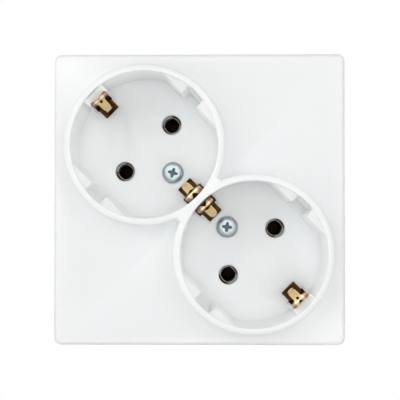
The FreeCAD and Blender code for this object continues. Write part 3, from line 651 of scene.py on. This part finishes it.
def pinContact():
    middle = leaf["apart"] / 2 - leaf["curve"]
    piece = addCircle("pinContact", leaf["sides"], leaf["curve"], (0, -leaf["top"], middle))
    edit(piece)
    pick(piece, lambda point: abs(point[0]) > leaf["halfWidth"] or point[2] < 0)
    bpy.ops.mesh.delete(type="VERT")
    pickAll()
    bpy.ops.mesh.duplicate()
    bpy.ops.transform.resize(value=(1, 1, -1), center_override=(0, 0, 0))
    pickAll()
    extrudeEdges(leaf["top"] - leaf["bottom"])
    bpy.ops.mesh.select_mode(type="EDGE")
    bpy.ops.mesh.bridge_edge_loops()
    pointOutwards()
    done()
    applyModifier(piece, "SOLIDIFY", thickness=leaf["gauge"], offset=1)
    soften(piece, leaf["softEdge"])
    return piece


leafFinish = leafBrass()
for (pole, word), piece in copyToPins(pinContact(), "Contact").items():
    fit(piece, leafFinish, "contact_brass", f"{pole}_receptacle_{word}")
# The bars and rivets take the same painted depth shade
for name in ("bar_rivets", "live_bar", "neutral_bar"):
    nodes[name].data.materials[0] = leafFinish
print("contacts made")


# Earth clips: polished tongue with a painted highlight on its edges, painted brown shade on the ears, and
# painted dark shade further down in the slots.
# Their tongues are drawn in from the start onwards, above a height
clip = {
    "softEdge": 0.00007,
    "drawAbove": 0.0045,
    "drawStart": {"outer": 0.038, "inner": 0.004},
    "drawSize": {"outer": (0.8, 1, 0.9), "inner": (0.88, 1, 0.93)},
    "tongue": (0.86, 0.64, 0.34),
    "edge": (0.86, 0.68, 0.50),
    "ear": (0.42, 0.27, 0.19),
    "deepShade": (0.085, 0.036, 0.010),
    "halfTongue": 0.00095,
    "halfNeck": 0.00135,
    "earShadeSoft": 0.0004,
    "topHeight": 0.0126,
    "deepShadeHeight": 0.0106,
    "deepShadeSoft": 0.001,
    "cloudScale": 500,
    "roughness": 0.22,
    "roughSpread": 0.2,
}


def clipBronze():
    finish = Finish("clipBronze", Metallic=1.0)
    clouds = finish.noise(finish.place(), clip["cloudScale"], 3)
    _, aside, height = finish.platePlace()
    half, neck = clip["halfTongue"], clip["halfNeck"]
    # Painted highlight: the tongue's edges are paler
    face = finish.mix(finish.between(aside, half, neck), colour(*clip["tongue"]), colour(*clip["edge"]))
    # Painted shade: the ears are brown
    face = finish.mix(finish.between(aside, neck, neck + clip["earShadeSoft"]), face, colour(*clip["ear"]))
    # Painted shade: darker further down in the slots
    lit = finish.between(height + clip["deepShadeSoft"] * clouds, clip["deepShadeHeight"], clip["topHeight"])
    tint = finish.mix(lit, colour(*clip["deepShade"]), face)
    return finish.surface(Base_Color=tint, Roughness=clip["roughness"] + clip["roughSpread"] * clouds)


# The line of the wells is turned level while a tongue is drawn in
def drawTongue(piece, side, end):
    start = clip["drawStart"][end]

    def onTongue(point):
        inwards = start - abs(point[0]) if end == "outer" else abs(point[0]) - start
        return inwards > 0 and point[1] < -clip["drawAbove"]

    moveTo(piece, turn=-wellTurn)
    edit(piece)
    pick(piece, onTongue)
    bpy.ops.transform.resize(value=clip["drawSize"][end], center_override=(side * start, 0, 0))
    done()
    moveTo(piece, turn=wellTurn)


bronze = clipBronze()
for word, side in wells.items():
    for end in ("outer", "inner"):
        piece = mergedCopy(f"earth_clip_{word}_{end}", f"earthClip{word.title()}{end.title()}")
        drawTongue(piece, side, end)
        soften(piece, clip["softEdge"])
        fit(piece, bronze, "spring_bronze", f"earth_clip_{word}_{end}")
# The bridge and rivets take the same painted highlight and shade
for name in ("earth_bridge", "clip_rivets"):
    nodes[name].data.materials[0] = bronze
print("earth clips dressed")


# Camera, floor and lamps
cameraView = {
    "place": (0.0043, -0.2739, -0.0018),
    "pitch": 0.00654,
    "yaw": 0.01589,
    "focus": 936.0,
    "photoWidth": 400,
    "sensor": 36.0,
}


def addCamera():
    lens = bpy.data.cameras.new("photoCamera")
    lens.sensor_width = cameraView["sensor"]
    lens.lens = cameraView["focus"] / cameraView["photoWidth"] * cameraView["sensor"]
    camera = bpy.data.objects.new("photoCamera", lens)
    camera.location = cameraView["place"]
    camera.rotation_euler = (math.pi / 2 + cameraView["pitch"], 0, cameraView["yaw"])
    bpy.context.scene.collection.objects.link(camera)
    bpy.context.scene.camera = camera


stage = {
    "floorDrop": 0.3,
    "floorSize": 12.0,
    "floorColour": (0.88, 0.88, 0.88),
    "floorRoughness": 0.9,
    "shadowReach": 0.8,
    "white": (1.0, 1.0, 1.0),
    "worldLight": 0.25,
}


# Seen directly the floor turns white away from its middle, and keeps the object's shadow
def floorPaper():
    finish = Finish("floorPaper", Roughness=stage["floorRoughness"], Base_Color=colour(*stage["floorColour"]))
    glow = finish.node("ShaderNodeEmission", {}, {"Color": colour(*stage["white"]), "Strength": 1.0})
    where = finish.coordinates()
    length = finish.node("ShaderNodeVectorMath", {"operation": "LENGTH"}, {0: where}, output=1)
    far = finish.between(length, stage["floorDrop"], stage["shadowReach"])
    bare = Value(finish, finish.shader.outputs[0])
    sockets = {0: finish.lightPath("Camera") * far, 1: bare, 2: glow}
    finish.end("ShaderNodeOutputMaterial", finish.node("ShaderNodeMixShader", {}, sockets))
    return finish.material


def addFloor():
    bpy.ops.object.select_all(action="DESELECT")
    bpy.ops.mesh.primitive_plane_add(size=stage["floorSize"], location=(0, 0, -stage["floorDrop"]))
    floor = bpy.context.object
    floor.name = "floor"
    settle(floor)
    floor.data.materials.append(floorPaper())


# Seen directly or mirrored the room is white, and its light is soft and weaker
def addWorld():
    world = bpy.data.worlds.new("studio")
    world.use_nodes = True
    room = NodeBuilder(world.node_tree)
    seen = room.lightPath("Camera").orMore(room.lightPath("Glossy")).orMore(room.lightPath("Transmission"))
    strength = stage["worldLight"] + (1 - stage["worldLight"]) * seen
    sockets = {"Color": colour(*stage["white"]), "Strength": strength}
    room.end("ShaderNodeOutputWorld", room.node("ShaderNodeBackground", {}, sockets))
    bpy.context.scene.world = world


lamps = {
    "front": {"place": (0, -0.9, 0), "size": 0.5, "power": 1.7},
    "topLeft": {"place": (-0.5, -0.65, 0.5), "size": 0.5, "power": 1.94},
    "topRight": {"place": (0.5, -0.65, 0.5), "size": 0.5, "power": 1.74},
    "left": {"place": (-0.85, -0.4, 0), "size": 0.5, "power": 1.05},
    "lowLeft": {"place": (-0.6, -0.5, -0.25), "size": 0.4, "power": 0.6},
    "lowRight": {"place": (0.6, -0.5, -0.25), "size": 0.4, "power": 1.1},
}


def addLamps():
    for name, lamp in lamps.items():
        data = bpy.data.lights.new(name, "AREA")
        data.size = lamp["size"]
        data.energy = lamp["power"]
        item = bpy.data.objects.new(name, data)
        item.location = lamp["place"]
        item.rotation_euler = (-Vector(lamp["place"])).to_track_quat("-Z", "Y").to_euler()
        bpy.context.scene.collection.objects.link(item)


addCamera()
addFloor()
addWorld()
addLamps()
bpy.context.scene.view_settings.view_transform = "Standard"
print("stage set")
